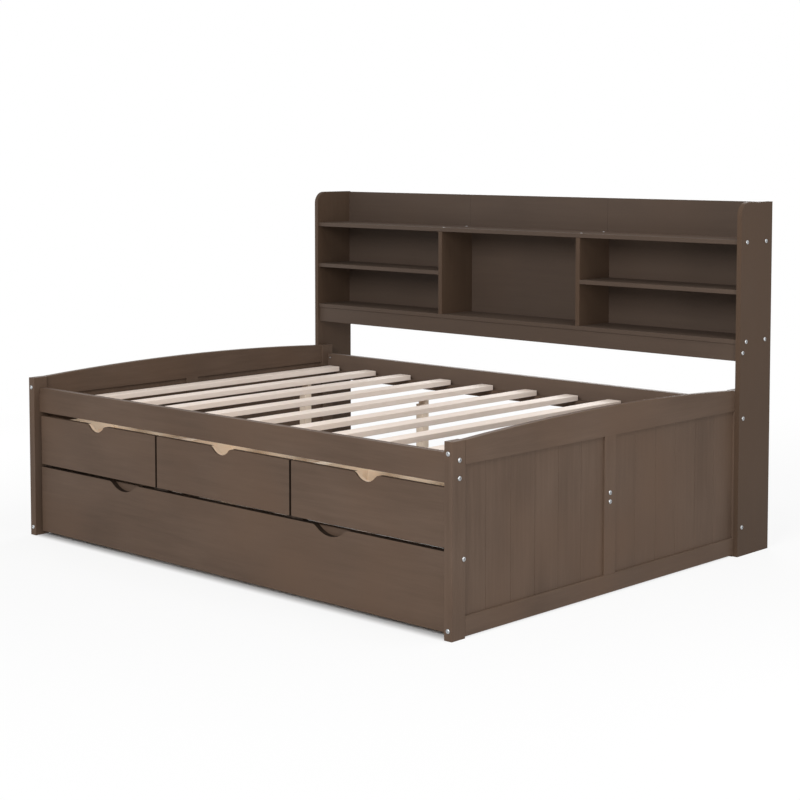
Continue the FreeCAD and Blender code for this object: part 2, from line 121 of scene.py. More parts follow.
# Edges of the small metal pieces stay sharp above this angle
SHARP_ANGLE = math.radians(32)

# Place and side of each square lamp
LAMPS = {
    "front": ((1.9, -6.1, 3.8), 3.0),
    "side": ((3.2, -0.5, 0.85), 0.55),
    "left": ((-3.2, 0.0, 1.1), 0.9),
    "fill": ((2.6, -3.4, 1.0), 1.6),
    "top": ((1.9, 0.0, 3.6), 2.0),
    "back": ((-2.6, 4.4, 2.4), 2.4),
}
CAMERA_PLACE = (4.1256, -4.3190, 1.3482)
CAMERA_REACH = 60.0


def colour(name, text, default):
    """A colour that a user would change, as shader values."""
    return bpy.props.FloatVectorProperty(
        name=name, description=text, subtype="COLOR", size=3, min=0, max=1, default=default
    )


def length(name, text, default):
    """A size in metres."""
    return bpy.props.FloatProperty(
        name=name, description=text, subtype="DISTANCE", unit="LENGTH", default=default,
        precision=4,
    )


def share(name, text, default):
    """A strength from 0 to 1."""
    return bpy.props.FloatProperty(
        name=name, description=text, subtype="FACTOR", min=0, max=1, default=default
    )


def number(name, text, default):
    """A plain number without a unit."""
    return bpy.props.FloatProperty(name=name, description=text, default=default)


def power(name, text, default):
    """The power of a lamp in watts."""
    return bpy.props.FloatProperty(name=name, description=text, unit="POWER", default=default)


def angle(name, text, degrees):
    """An angle, given in degrees."""
    return bpy.props.FloatProperty(
        name=name, description=text, subtype="ANGLE", unit="ROTATION",
        default=math.radians(degrees),
    )


class StainSettings(bpy.types.PropertyGroup):
    """The dark stain on the frame, the fronts and the bookcase."""

    deep: colour("Deep tone", "Darkest tone of the stain", (0.070, 0.0445, 0.0305))
    light: colour("Light tone", "Lightest tone of the stain", (0.130, 0.088, 0.0635))
    warm: colour("Warm patches", "Colour of the warmer patches", (0.109, 0.068, 0.045))
    # The edge tone is painted shade on the fronts' lower edges and on all the trundle front's
    # edges, and darker end grain with painted shade on the drawer fronts' ends
    ends: colour("Edge tone", "Tone of the dark edges of the fronts", (0.026, 0.017, 0.012))
    notch_rim: length("Notch rim", "How far the stain reaches into a drawer's notch", 0.0055)
    roughness: share("Roughness", "Roughness of the satin lacquer", 0.56)
    sheen_change: share("Sheen change", "How far the roughness follows the streaks", 0.16)
    gloss: share("Gloss", "Strength of the lacquer's reflections", 0.12)
    case_tone: colour("Bookcase tone", "Cooler tone of the shelves", (0.066, 0.049, 0.039))
    # Painted shade: the bookcase's uprights and dividers go toward this darker tone
    side_painted_shade: colour("Bookcase side tone", "Warmer tone of the uprights", (0.058, 0.035, 0.021))
    # Painted light: the back rail goes toward this lighter tone
    rail_painted_light: colour("Back rail tone", "Lighter tone of the back rail", (0.14, 0.10, 0.077))
    # How far the shelves go to their own tone, the uprights to their painted shade and the back
    # rail to its painted light
    tone_and_painted_light_depth: share("Own depth", "How far the bookcase and back rail go to their own tone", 0.6)
    board_pitch: length("Board pitch", "Width of the boards in the end panels", 0.108)
    board_contrast: share("Board contrast", "Difference between neighbouring boards", 0.12)
    blotch_size: length("Blotch size", "Size of the soft blotches", 0.16)
    blotch_stretch: share("Blotch stretch", "Scale of the blotches along the grain", 0.45)
    blotch_weight: share("Blotch weight", "How strongly the blotches show", 0.9)
    patch_size: length("Patch size", "Size of the warmer patches", 0.304)
    patch_start: share("Patch start", "From which value of the noise the patches turn warm", 0.42)
    patch_gain: number("Patch gain", "How fast the patches turn warm", 2.2)
    streak_size: length("Streak size", "Width of the grain streaks", 0.016)
    streak_stretch: share("Streak stretch", "Scale of the streaks along the grain", 0.06)
    streak_weight: share("Streak weight", "How strongly the streaks show", 0.75)
    pore_size: length("Pore size", "Width of the fine pores", 0.0022)
    pore_stretch: share("Pore stretch", "Scale of the pores along the grain", 0.04)
    pore_weight: share("Pore weight", "How strongly the pores show", 0.22)
    relief: length("Relief", "Depth of the grain's relief", 0.0004)
    relief_strength: share("Relief strength", "How strongly the relief shows", 0.35)
    pore_relief: share("Pore relief", "How much of the relief comes from the pores", 0.4)


class PaleWoodSettings(bpy.types.PropertyGroup):
    """The bare wood of slats, posts and drawer boxes."""

    slat_pale: colour("Slat pale", "Pale tone of the slats", (0.86, 0.745, 0.66))
    slat_deep: colour("Slat deep", "Deeper grain of the slats", (0.76, 0.62, 0.52))
    post_pale: colour("Post pale", "Pale tone of the posts", (0.84, 0.71, 0.575))
    post_deep: colour("Post deep", "Deeper grain of the posts", (0.75, 0.59, 0.45))
    pine_pale: colour("Pine pale", "Palest pieces of the jointed pine", (0.98, 0.85, 0.69))
    pine_deep: colour("Pine deep", "Deepest pieces of the jointed pine", (0.94, 0.72, 0.52))
    roughness: share("Roughness", "Roughness of the bare wood", 0.6)
    cloud_size: length("Cloud size", "Size of the soft clouds of tone", 0.07)
    cloud_stretch: share("Cloud stretch", "Scale of the clouds along the grain", 0.2)
    cloud_start: share("Cloud start", "From which value of the noise the clouds deepen", 0.35)
    cloud_weight: share("Cloud weight", "How strongly the clouds show", 0.9)
    grain_stretch: share("Grain stretch", "Scale of the grain along the board", 0.03)
    streak_size: length("Streak size", "Width of the grain streaks", 0.007)
    streak_weight: number("Streak weight", "How strongly the streaks show", 1.3)
    fine_size: length("Fine size", "Width of the finest grain", 0.0015)
    fine_weight: share("Fine weight", "How strongly the finest grain shows", 0.4)
    relief: length("Relief", "Depth of the grain's relief", 0.0003)
    relief_strength: share("Relief strength", "How strongly the relief shows", 0.3)
    joint_length: length("Joint length", "Length of the jointed pieces", 0.12)
    long_joints: number("Long joints", "How much longer the pieces are along the bed", 2.6)
    strip_height: length("Strip height", "Height of the glued strips", 0.07)
    piece_weight: share("Piece weight", "How strongly the tone of the pieces differs", 0.85)
    line_size: length("Line size", "Width of the pine's grain lines", 0.006)
    line_stretch: share("Line stretch", "Scale of the pine's grain lines along it", 0.12)
    line_weight: share("Line weight", "How strongly the pine's grain lines show", 0.7)


class HardwareSettings(bpy.types.PropertyGroup):
    """Heads of the bolts and screws, and the hubs of the casters."""

    zinc: colour("Zinc", "Colour of the plated bolt heads", (0.42, 0.43, 0.44))
    zinc_roughness: share("Zinc roughness", "Roughness of the bolt heads", 0.34)
    bright_zinc: colour("Bright zinc", "Colour of the screw heads", (0.80, 0.81, 0.83))
    bright_roughness: share("Bright zinc roughness", "Roughness of the screw heads", 0.4)
    bolt_radius: length("Bolt head radius", "Radius of a bolt head", 0.007)
    bolt_height: length("Bolt head height", "Height of a bolt head", 0.0026)
    socket_radius: length("Socket radius", "Radius of the hexagon socket", 0.0035)
    socket_depth: length("Socket depth", "Depth of the hexagon socket", 0.0023)
    screw_radius: length("Screw head radius", "Radius of a screw head", 0.004)
    screw_height: length("Screw head height", "Height of a screw head", 0.001)
    cross_width: length("Cross width", "Width of a screw's cross slots", 0.0009)
    cross_depth: length("Cross depth", "Depth of a screw's cross slots", 0.0006)
    tyre: colour("Tyre", "Colour of the caster wheels", (0.035, 0.035, 0.037))
    tyre_roughness: share("Tyre roughness", "Roughness of the caster wheels", 0.5)
    hub: colour("Hub", "Colour of the caster hubs", (0.30, 0.30, 0.31))
    hub_roughness: share("Hub roughness", "Roughness of the caster hubs", 0.45)
    hub_radius: length("Hub radius", "Radius of a caster hub", 0.0135)
    hub_height: length("Hub height", "Height of a caster hub", 0.0009)
    hub_bore: length("Hub bore", "Radius of the hole for the axle", 0.0036)
    wear_size: length("Wear size", "Size of the handling marks", 0.004)
    wear_depth: share("Wear depth", "How far the marks change the roughness", 0.12)


class StudioSettings(bpy.types.PropertyGroup):
    """Camera, lamps and floor."""

    azimuth: angle("Azimuth", "How far the camera stands round to the right", 43.382)
    pitch: angle("Pitch", "How far the camera looks down", 4.0)
    lens: number("Lens", "Focal length in millimetres", 79.33)
    rise: number("Lens shift", "Upward shift of the picture", -0.1622)
    front_power: power("Front lamp", "Power of the lamp in front", 302)
    side_power: power("Side lamp", "Power of the lamp on the right", 17)
    left_power: power("Left lamp", "Power of the lamp on the left", 16)
    fill_power: power("Fill lamp", "Power of the low lamp by the camera", 9)
    top_power: power("Top lamp", "Power of the lamp overhead", 41)
    back_power: power("Back lamp", "Power of the lamp behind the bed", 110)
    ambient: share("Ambient", "Even light from all round", 0.33)
    floor_half: length("Floor half", "Half the side of the square floor", 14.0)
    floor_tone: colour("Floor", "Colour of the floor", (0.82, 0.82, 0.82))
    floor_white: share("Floor white", "How much the floor shows plain white", 0.85)
    floor_near: length("Shadow reach", "From here out the floor turns white", 1.4)
    floor_far: length("White reach", "From here out the floor is plain white", 3.6)
    back_fade: length("Back fade", "Over what length the shade ends behind the trundle", 0.5)
    side_fade: number("Side fade", "How much faster the shade ends at the sides", 15.0)


class Value:
    """A socket in a node tree. Arithmetic on it adds Math nodes to the tree."""

    def __init__(self, maker, socket):
        self.maker = maker
        self.socket = socket

    def math(self, operation, *values):
        sockets = dict(enumerate(values))
        return self.maker.add("ShaderNodeMath", {"operation": operation}, sockets)["Value"]

    def __add__(self, other):
        return self.math("ADD", self, other)

    __radd__ = __add__

    def __sub__(self, other):
        return self.math("SUBTRACT", self, other)

    def __rsub__(self, other):
        return self.math("SUBTRACT", other, self)

    def __mul__(self, other):
        return self.math("MULTIPLY", self, other)

    __rmul__ = __mul__

    def __truediv__(self, other):
        return self.math("DIVIDE", self, other)

    def __gt__(self, other):
        return self.math("GREATER_THAN", self, other)

    def __lt__(self, other):
        return self.math("LESS_THAN", self, other)

    def floor(self):
        return self.math("FLOOR", self)

    def root(self):
        return self.math("SQRT", self)

    def size(self):
        return self.math("ABSOLUTE", self)

    def larger(self, other):
        return self.math("MAXIMUM", self, other)


class Made:
    """A node that has been made; its outputs are read by name."""

    def __init__(self, maker, node):
        self.maker = maker
        self.node = node

    def __getitem__(self, name):
        return Value(self.maker, self.node.outputs[name])


class Maker:
    """Adds nodes to one tree."""

    def __init__(self, tree):
        self.tree = tree

    def add(self, kind, settings=None, sockets=None):
        """One node: its settings are set first, then its sockets' values or links."""
        node = self.tree.nodes.new(kind)
        for name, value in (settings or {}).items():
            setattr(node, name, value)
        for name, value in (sockets or {}).items():
            if isinstance(value, Value):
                self.tree.links.new(value.socket, node.inputs[name])
            else:
                node.inputs[name].default_value = value
        return Made(self, node)

    def split(self, vector):
        """The X, Y and Z of a vector."""
        return self.add("ShaderNodeSeparateXYZ", None, {"Vector": vector})

    def joined(self, **parts):
        """A vector with the given X, Y or Z."""
        return self.add("ShaderNodeCombineXYZ", None, parts)["Vector"]


class Finish(Maker):
    """A material with one Principled shader."""

    def __init__(self, name):
        self.material = bpy.data.materials.new(name)
        self.material.use_nodes = True
        super().__init__(self.material.node_tree)
        self.shader = self.tree.nodes["Principled BSDF"]
        self.place = self.add("ShaderNodeTexCoord")["Object"]

    def set(self, values):
        """Values or links for the shader's sockets, by name."""
        for name, value in values.items():
            socket = self.shader.inputs[name]
            if isinstance(value, Value):
                self.tree.links.new(value.socket, socket)
            else:
                socket.default_value = value
        return self.material

    def stretched(self, along, factor):
        """The place on the object, drawn out along one or two axes."""
        scale = [factor if axis in along else 1.0 for axis in AXES]
        sockets = {"Vector": self.place, "Scale": scale}
        return self.add("ShaderNodeMapping", None, sockets)["Vector"]

    def noise(self, place, size, detail=2.0, roughness=0.5):
        """Soft noise with features of about one size in metres."""
        sockets = {"Vector": place, "Scale": 1 / size, "Detail": detail, "Roughness": roughness}
        return self.add("ShaderNodeTexNoise", None, sockets)["Fac"]

    def mix(self, factor, first, second):
        """A colour between two colours."""
        node = self.tree.nodes.new("ShaderNodeMix")
        node.data_type = "RGBA"
        node.clamp_factor = True
        for index, value in ((0, factor), (6, first), (7, second)):
            if isinstance(value, Value):
                self.tree.links.new(value.socket, node.inputs[index])
            elif index:
                node.inputs[index].default_value = (*value, 1.0)
            else:
                node.inputs[index].default_value = value
        return Value(self, node.outputs[2])

    def bump(self, height, distance, strength):
        """A fine relief that follows a value."""
        sockets = {"Height": height, "Distance": distance, "Strength": strength}
        return self.add("ShaderNodeBump", None, sockets)["Normal"]


def facing(finish):
    """The direction in which the surface faces, as X, Y and Z."""
    return finish.split(finish.add("ShaderNodeNewGeometry")["Normal"])


def trundle_edges(finish, base):
    """All edges of the trundle's front are darker than its faces: painted shade for the gaps
    around it.
    """
    looks = bpy.context.scene.bed_stain
    # Painted shade on every edge of the trundle's front
    return finish.mix(facing(finish)["Y"].size() < EDGE_TURN, base, looks.ends)


def drawer_edges(finish, base):
    """Ends as darker end grain with painted shade of the gaps, lower edges in painted shade, and
    bare wood in the notch behind a rim of stain.
    """
    looks = bpy.context.scene.bed_stain
    side = facing(finish)
    # Darker end grain and painted shade of the gaps on the ends
    base = finish.mix(side["X"].size() > END_TURN, base, looks.ends)
    # Painted shade on the lower edges
    base = finish.mix(side["Z"] < LOWER_TURN, base, looks.ends)
    place = finish.split(finish.place)
    low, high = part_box("drawer_1_front")
    edge = side["Y"].size() < EDGE_TURN
    in_notch = (side["Z"] > NOTCH_TURN) * edge * (place["Z"] < high.z - TOP_EDGE)
    behind_rim = place["Y"] > low.y + looks.notch_rim
    return finish.mix(in_notch * behind_rim, base, bpy.context.scene.bed_pale.pine_deep)


def stained(name, along, boards=False, toward=None, edges=None):
    """Dark satin stain over wood whose grain runs along one axis.

    A tone to go toward (the shelves' own tone, painted shade on the uprights, painted light on the
    back rail) and a function that gives the edges their tone and painted shade are left out where
    the piece has none.
    """
    looks = bpy.context.scene.bed_stain
    finish = Finish(name)
    blotch = finish.noise(finish.stretched(along, looks.blotch_stretch), looks.blotch_size)
    patch = finish.noise(finish.place, looks.patch_size, detail=1.0)
    streak = finish.noise(
        finish.stretched(along, looks.streak_stretch), looks.streak_size,
        detail=4.0, roughness=0.6,
    )
    pore = finish.noise(
        finish.stretched(along, looks.pore_stretch), looks.pore_size, detail=1.0
    )
    tone = 0.5 + (blotch - 0.5) * looks.blotch_weight
    tone = tone + (streak - 0.5) * looks.streak_weight + (pore - 0.5) * looks.pore_weight
    if boards:
        tone = tone + (board_tone(finish) - 0.5) * looks.board_contrast
    base = finish.mix(tone, looks.deep, looks.light)
    base = finish.mix((patch - looks.patch_start) * looks.patch_gain, base, looks.warm)
    if toward:
        # Own tone on the shelves, painted shade on the uprights, painted light on the back rail
        base = finish.mix(looks.tone_and_painted_light_depth, base, toward)
    if edges:
        base = edges(finish, base)
    relief = streak * (1 - looks.pore_relief) + pore * looks.pore_relief
    return finish.set({
        "Base Color": base,
        "Roughness": looks.roughness + (streak - 0.5) * looks.sheen_change,
        "Specular IOR Level": looks.gloss,
        "Normal": finish.bump(relief, looks.relief, looks.relief_strength),
    })


def board_tone(finish):
    """A steady random tone for each upright board of the end panels."""
    pitch = bpy.context.scene.bed_stain.board_pitch
    y = finish.split(finish.place)["Y"]
    low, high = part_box("right_middle_stile")
    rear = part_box("right_back_stile")[0].y
    behind = y > (low.y + high.y) / 2
    start = low.y + behind * (rear - low.y)
    board = ((y - start) / pitch).floor() + behind * REAR_NUMBERS
    return finish.add(
        "ShaderNodeTexWhiteNoise", {"noise_dimensions": "1D"}, {"W": board}
    )["Value"]


def bare_wood(name, along, pale, deep):
    """Bare sanded wood with fine straight grain."""
    looks = bpy.context.scene.bed_pale
    finish = Finish(name)
    grain = finish.stretched(along, looks.grain_stretch)
    cloud = finish.noise(finish.stretched(along, looks.cloud_stretch), looks.cloud_size)
    streak = finish.noise(grain, looks.streak_size, detail=3.0, roughness=0.6)
    fine = finish.noise(grain, looks.fine_size, detail=1.0)
    tone = (cloud - looks.cloud_start) * looks.cloud_weight
    tone = tone + (streak - 0.5) * looks.streak_weight + (fine - 0.5) * looks.fine_weight
    return finish.set({
        "Base Color": finish.mix(tone, pale, deep),
        "Roughness": looks.roughness,
        "Normal": finish.bump(streak, looks.relief, looks.relief_strength),
    })


def jointed_pine(name, deep_below=None):
    """Pine boards glued up from short pieces of varied tone, in the stain's deep tone below a
    height.
    """
    looks = bpy.context.scene.bed_pale
    finish = Finish(name)
    place = finish.split(finish.place)
    row = (place["Z"] / looks.strip_height).floor()
    long = looks.long_joints * looks.joint_length
    along = (place["X"] / long + row * ROW_STEP_X + START_X).floor()
    across = (place["Y"] / looks.joint_length + row * ROW_STEP_Y + along * SKEW_Y).floor()
    cell = finish.joined(X=along, Y=across, Z=row)
    piece = finish.add(
        "ShaderNodeTexWhiteNoise", {"noise_dimensions": "3D"}, {"Vector": cell}
    )["Value"]
    line = finish.noise(
        finish.stretched("xy", looks.line_stretch), looks.line_size, detail=3.0
    )
    tone = piece * looks.piece_weight + (line - 0.5) * looks.line_weight
    base = finish.mix(tone, looks.pine_pale, looks.pine_deep)
    if deep_below is not None:
        stain = bpy.context.scene.bed_stain.deep
        base = finish.mix(place["Z"] > deep_below, stain, base)
    return finish.set({"Base Color": base, "Roughness": looks.roughness})


def plain(name, base, roughness, metallic=0.0):
    """A finish of one colour with faint handling marks."""
    looks = bpy.context.scene.bed_hardware
    finish = Finish(name)
    wear = finish.noise(finish.place, looks.wear_size)
    return finish.set({
        "Base Color": (*base, 1.0),
        "Metallic": metallic,
        "Roughness": roughness + (wear - 0.5) * looks.wear_depth,
    })


def paint(names, material):
    """Give CAD nodes a material."""
    for name in names:
        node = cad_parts[name]
        node.data.materials.clear()
        node.data.materials.append(material)


class BED_OT_stain(bpy.types.Operator):
    """Stain the frame, the fronts, the end panels and the bookcase."""

    bl_idname = "bed.stain"
    bl_label = "Stained wood"

    def execute(self, context):
        looks = context.scene.bed_stain
        for names, name, axis, options in (
            (GRAIN_X, "stained_grain_x", "x", {}),
            (GRAIN_Y, "stained_grain_y", "y", {}),
            (GRAIN_Z, "stained_grain_z", "z", {}),
            (CASE_X, "stained_case_x", "x", {"toward": looks.case_tone}),
            # Painted shade on the bookcase's uprights
            (CASE_Z, "stained_case_z", "z", {"toward": looks.side_painted_shade}),
            # Painted light on the back rail
            (("back_rail",), "stained_back_rail", "x", {"toward": looks.rail_painted_light}),
            (DRAWER_FRONTS, "stained_drawers", "x", {"edges": drawer_edges}),
            (("trundle_front",), "stained_trundle", "x", {"edges": trundle_edges}),
            (INFILL, "stained_boards", "z", {"boards": True}),
        ):
            paint(names, stained(name, axis, **options))
        return {"FINISHED"}


class BED_OT_bare_wood(bpy.types.Operator):
    """Finish the slats, the posts and the drawer boxes as bare wood."""

    bl_idname = "bed.bare_wood"
    bl_label = "Bare wood"

    def execute(self, context):
        looks = context.scene.bed_pale
        slats = bare_wood("slat_wood", "y", looks.slat_pale, looks.slat_deep)
        posts = bare_wood("post_wood", "z", looks.post_pale, looks.post_deep)
        paint(SLATS, slats)
        paint(("support_posts",), posts)
        paint(PINE, jointed_pine("jointed_pine"))
        seats = min(max(p.z for p in points) for points in islands("drawer_runners"))
        paint(("drawer_runners",), jointed_pine("runner_pine", seats - SEAT_EDGE))
        return {"FINISHED"}


def geometry_tree(name, sizes):
    """A Geometry Nodes tree with named inputs, and the maker that fills it."""
    tree = bpy.data.node_groups.new(name, "GeometryNodeTree")
    face = tree.interface
    face.new_socket("Geometry", in_out="INPUT", socket_type="NodeSocketGeometry")
    for label in sizes:
        face.new_socket(label, in_out="INPUT", socket_type="NodeSocketFloat")
    face.new_socket("Material", in_out="INPUT", socket_type="NodeSocketMaterial")
    face.new_socket("Geometry", in_out="OUTPUT", socket_type="NodeSocketGeometry")
    maker = Maker(tree)
    return maker, maker.add("NodeGroupInput")


def finish_tree(maker, inputs, piece):
    """Set the piece on every point, turned outwards, and end in a plain mesh."""
    outward = maker.add(
        "GeometryNodeInputNamedAttribute", {"data_type": "FLOAT_VECTOR"}, {"Name": "outward"}
    )
    turn = maker.add(
        "FunctionNodeAlignRotationToVector", {"axis": "Z"}, {"Vector": outward["Attribute"]}
    )
    placed = maker.add("GeometryNodeInstanceOnPoints", None, {
        "Points": inputs["Geometry"], "Instance": piece, "Rotation": turn["Rotation"],
    })
    plain_mesh = maker.add("GeometryNodeRealizeInstances", None, {"Geometry": placed["Instances"]})
    faced = maker.add("GeometryNodeSetMaterial", None, {
        "Geometry": plain_mesh["Geometry"], "Material": inputs["Material"],
    })
    maker.add("NodeGroupOutput", None, {"Geometry": faced["Geometry"]})
    return maker.tree


def raised(maker, mesh, height):
    """A mesh moved along the piece's own axis."""
    return maker.add("GeometryNodeTransform", None, {
        "Geometry": mesh, "Translation": maker.joined(Z=height),
    })["Geometry"]


def cylinder(maker, vertices, radius, depth, low, segments=1):
    """A cylinder that stands on a height of the piece's own axis."""
    made = maker.add("GeometryNodeMeshCylinder", None, {
        "Vertices": vertices, "Side Segments": segments, "Radius": radius, "Depth": depth,
    })
    return raised(maker, made["Mesh"], depth * 0.5 + low)


def cut(maker, body, *tools):
    """The body less the tools."""
    made = maker.add("GeometryNodeMeshBoolean", {"operation": "DIFFERENCE", "solver": "EXACT"})
    maker.tree.links.new(body.socket, made.node.inputs["Mesh 1"])
    for tool in tools:
        maker.tree.links.new(tool.socket, made.node.inputs["Mesh 2"])
    return made["Mesh"]


def head_tree(recess):
    """Domed heads with a hexagon socket, or flat heads with a cross."""
    sizes = ("Radius", "Height", "Recess Width", "Recess Depth")
    maker, inputs = geometry_tree("Fastener heads " + recess, sizes)
    radius, height, width, depth = (inputs[label] for label in sizes)
    domed = recess == "hexagon"
    body = cylinder(maker, 32, radius, height, 0.0, 6 if domed else 1)
    if domed:
        here = maker.split(maker.add("GeometryNodeInputPosition")["Position"])
        up = here["Z"] / height
        shrink = (1 - up * up * DOME).root()
        moved = maker.joined(X=here["X"] * shrink, Y=here["Y"] * shrink, Z=here["Z"])
        body = maker.add("GeometryNodeSetPosition", None, {
            "Geometry": body, "Position": moved,
        })["Geometry"]
        tools = [cylinder(maker, 6, width, depth * 2, height - depth)]
    else:
        tools = [
            cross_slot(maker, radius, width, depth, height, turned) for turned in (False, True)
        ]
    return finish_tree(maker, inputs, cut(maker, body, *tools))


def cross_slot(maker, radius, width, depth, height, turned):
    """One of the two slots of a cross."""
    long = radius * SLOT_REACH
    sides = {"X": width, "Y": long} if turned else {"X": long, "Y": width}
    size = maker.joined(**sides, Z=depth * 2)
    box = maker.add("GeometryNodeMeshCube", None, {"Size": size})
    return raised(maker, box["Mesh"], height)


def hub_tree():
    """Round hubs with a hole for the axle and a ring of five small holes."""
    sizes = ("Radius", "Height", "Bore")
    maker, inputs = geometry_tree("Caster hubs", sizes)
    radius, height, bore = (inputs[label] for label in sizes)
    disc = cylinder(maker, 48, radius, height, 0.0)
    centre = cylinder(maker, 24, bore, height * 3, height * -1.0)
    ring = maker.add("GeometryNodeMeshCircle", None, {"Vertices": 5, "Radius": radius * HUB_RING})
    hole = cylinder(maker, 16, radius * HUB_HOLE, height * 3, height * -1.0)
    holes = maker.add("GeometryNodeInstanceOnPoints", None, {
        "Points": ring["Mesh"], "Instance": hole,
    })
    holes = maker.add("GeometryNodeRealizeInstances", None, {"Geometry": holes["Instances"]})
    return finish_tree(maker, inputs, cut(maker, cut(maker, disc, centre), holes["Geometry"]))


def grown(name, tree, places, sizes, material):
    """Run a tree on points that know which way is outwards, and keep a plain mesh."""
    points = bpy.data.meshes.new(name + "_points")
    points.from_pydata([place for place, outward in places], [], [])
    turns = points.attributes.new("outward", "FLOAT_VECTOR", "POINT")
    for item, (place, outward) in zip(turns.data, places):
        item.vector = outward
    scaffold = bpy.data.objects.new(name + "_points", points)
    bpy.context.scene.collection.objects.link(scaffold)
    modifier = scaffold.modifiers.new("Grow", "NODES")
    modifier.node_group = tree
    values = {**sizes, "Material": material}
    for item in tree.interface.items_tree:
        if item.in_out == "INPUT" and item.name in values:
            modifier[item.identifier] = values[item.name]
    bpy.context.view_layer.update()
    evaluated = scaffold.evaluated_get(bpy.context.evaluated_depsgraph_get())
    mesh = bpy.data.meshes.new_from_object(evaluated)
    bpy.data.objects.remove(scaffold)
    if not mesh.polygons:
        raise RuntimeError("%s came out empty" % name)
    mesh.name = name
    for polygon in mesh.polygons:
        polygon.use_smooth = True
    mesh.set_sharp_from_angle(angle=SHARP_ANGLE)
    made = bpy.data.objects.new(name, mesh)
    bpy.context.scene.collection.objects.link(made)
    return made


def islands(name):
    """The separate solids of a CAD node, as lists of points."""
    work = bmesh.new()
    work.from_mesh(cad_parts[name].data)
    bmesh.ops.remove_doubles(work, verts=work.verts, dist=1e-6)
    left = set(work.verts)
    found = []
    while left:
        island = [left.pop()]
        for vert in island:
            for edge in vert.link_edges:
                other = edge.other_vert(vert)
                if other in left:
                    left.remove(other)
                    island.append(other)
        found.append([vert.co.copy() for vert in island])
    work.free()
    found.sort(key=lambda points: tuple(round(v, 4) for v in sum(points, Vector()) / len(points)))
    return found


def fastener_places(name, shank_radius):
    """Where each head sits on its board, and which way it faces."""
    places = []
    for points in islands(name):
        low = Vector([min(p[i] for p in points) for i in range(3)])
        high = Vector([max(p[i] for p in points) for i in range(3)])
        spans = list(high - low)
        long = spans.index(max(spans))
        centre = (low + high) / 2
        head = []
        for p in points:
            away = p - centre
            away[long] = 0
            if away.length > shank_radius:
                head.append(p[long])
        middle = sum(head) / len(head)
        side = 1 if middle > centre[long] else -1
        centre[long] = min(head) if side > 0 else max(head)
        outward = Vector()
        outward[long] = side
        places.append((centre, outward))
    return places


class BED_OT_fasteners(bpy.types.Operator):
    """Make the bolt and screw heads, and finish the caster forks."""

    bl_idname = "bed.fasteners"
    bl_label = "Bolts and screws"

    def execute(self, context):
        looks = context.scene.bed_hardware
        zinc = plain("zinc_plate", looks.zinc, looks.zinc_roughness, 1.0)
        bolts = grown("bolt_heads", head_tree("hexagon"), fastener_places("bolts", BOLT_SHANK), {
            "Radius": looks.bolt_radius, "Height": looks.bolt_height,
            "Recess Width": looks.socket_radius, "Recess Depth": looks.socket_depth,
        }, zinc)
        bright = plain("bright_zinc_plate", looks.bright_zinc, looks.bright_roughness, 1.0)
        screws = grown("screw_heads", head_tree("cross"), fastener_places("screws", SCREW_SHANK), {
            "Radius": looks.screw_radius, "Height": looks.screw_height,
            "Recess Width": looks.cross_width, "Recess Depth": looks.cross_depth,
        }, bright)
        for piece, node in ((bolts, "bolts"), (screws, "screws")):
            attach(piece, "bed_frame")
            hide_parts(node)
        paint(("caster_forks",), zinc)
        return {"FINISHED"}


class BED_OT_casters(bpy.types.Operator):
    """Finish the caster wheels and give each a pair of hubs."""

    bl_idname = "bed.casters"
    bl_label = "Casters"

    def execute(self, context):
        looks = context.scene.bed_hardware
        tyre = plain("caster_tyre", looks.tyre, looks.tyre_roughness)
        grey = plain("caster_hub", looks.hub, looks.hub_roughness)
        tree = hub_tree()
        for n in range(4):
            wheel = "trundle_wheel_%d" % (n + 1)
            paint((wheel,), tyre)
            low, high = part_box(wheel)
            y = (low.y + high.y) / 2
            z = (low.z + high.z) / 2
            places = [(Vector((high.x, y, z)), Vector((1, 0, 0))),
                      (Vector((low.x, y, z)), Vector((-1, 0, 0)))]
            hub = grown("caster_hub_%d" % (n + 1), tree, places, {
                "Radius": looks.hub_radius, "Height": looks.hub_height, "Bore": looks.hub_bore,
            }, grey)
            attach(hub, "wheel_%d" % (n + 1))
        return {"FINISHED"}


def lamp(name, place, target, size, energy):
    """A soft square lamp that faces a point."""
    data = bpy.data.lights.new(name, "AREA")
    data.size = size
    data.energy = energy
    made = bpy.data.objects.new(name, data)
    made.location = place
    made.rotation_mode = "QUATERNION"
    made.rotation_quaternion = (Vector(target) - Vector(place)).to_track_quat("-Z", "Y")
    bpy.context.scene.collection.objects.link(made)


def seen_plainly(maker):
    """1 for the rays that show the background itself, in the camera, gloss or glass."""
    rays = maker.add("ShaderNodeLightPath")
    direct = rays["Is Camera Ray"] + rays["Is Glossy Ray"] + rays["Is Transmission Ray"]
    return direct > 0.5


